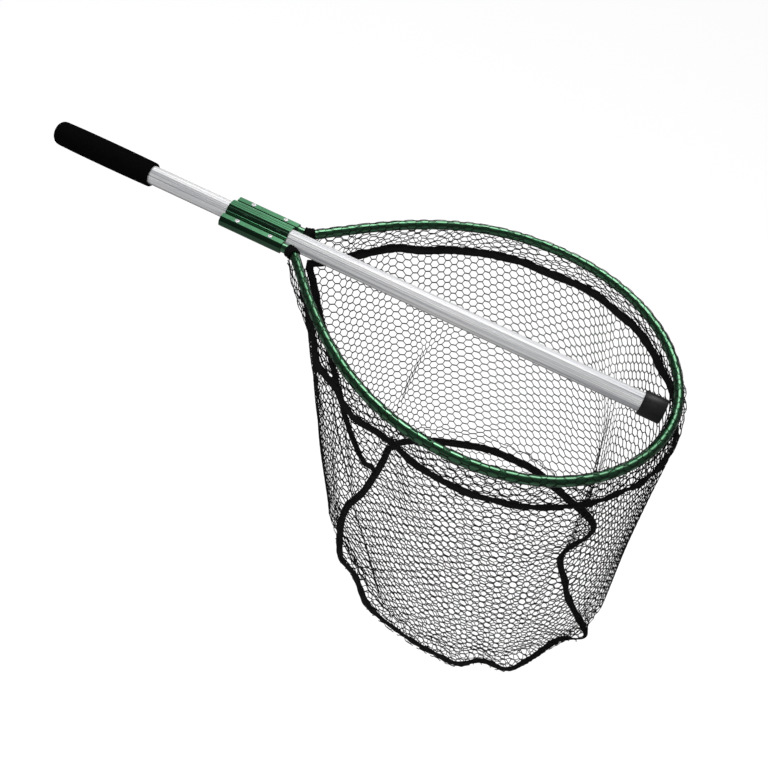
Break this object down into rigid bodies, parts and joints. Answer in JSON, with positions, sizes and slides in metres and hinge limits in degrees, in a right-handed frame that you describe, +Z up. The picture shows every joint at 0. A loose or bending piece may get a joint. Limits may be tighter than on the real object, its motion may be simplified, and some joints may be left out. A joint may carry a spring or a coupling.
{
  "type": "landing net",
  "caption": "Hand-held landing net with a teardrop tube hoop, a deep knotless net bag, and a fluted handle that slides through a three-lobe yoke and locks with a snap button.",
  "frame": {"origin": "the middle of the yoke's underside; the handle axis runs 14.9 mm above it and the yoke's front face is 44 mm in front of it", "axes": "+X along the handle towards the hoop's tip, +Y to the left side, +Z up out of the hoop's mouth; the bag hangs towards -Z"},
  "size_m": [0.9122, 0.4568, 0.4318],
  "materials": {
    "green_aluminium": "green anodised, satin",
    "silver_aluminium": "clear anodised, satin",
    "rivet_metal": "bright",
    "mandrel_steel": "dark, as pulled",
    "spring_steel": "plain",
    "black_foam": "matt closed-cell foam",
    "black_plastic": "satin moulded",
    "black_net": "knotless mesh",
    "black_tape": "woven tape"
  },
  "bodies": {
    "frame": {"yoke": "green_aluminium", "hoop_tube": "green_aluminium", "rivet_left_front": "rivet_metal", "rivet_left_rear": "rivet_metal", "rivet_right_front": "rivet_metal", "rivet_right_rear": "rivet_metal", "rivet_mandrel_left_front": "mandrel_steel", "rivet_mandrel_left_rear": "mandrel_steel", "rivet_mandrel_right_front": "mandrel_steel", "rivet_mandrel_right_rear": "mandrel_steel", "neck_lashing_left": "black_tape", "neck_lashing_right": "black_tape", "net_rim_sleeve": "black_net", "upper_binding_tape": "black_tape", "net_side_wall": "black_net", "lower_binding_tape": "black_tape", "net_bottom_panel": "black_net"},
    "handle": {"handle_tube": "silver_aluminium", "handle_grip": "black_foam", "front_end_cap": "black_plastic", "button_spring_clip": "spring_steel"},
    "lock_button": {"lock_button": "rivet_metal"}
  },
  "joints": [
    {"name": "handle_slide", "type": "slide", "parent": "frame", "child": "handle", "axis": [1, 0, 0], "range_m": [-0.464, 0.004]},
    {"name": "lock_button_press", "type": "slide", "parent": "handle", "child": "lock_button", "axis": [0, 0, 1], "range_m": [0, 0.004], "stiffness_N_per_m": 900, "deforming": ["button_spring_clip"]}
  ]
}
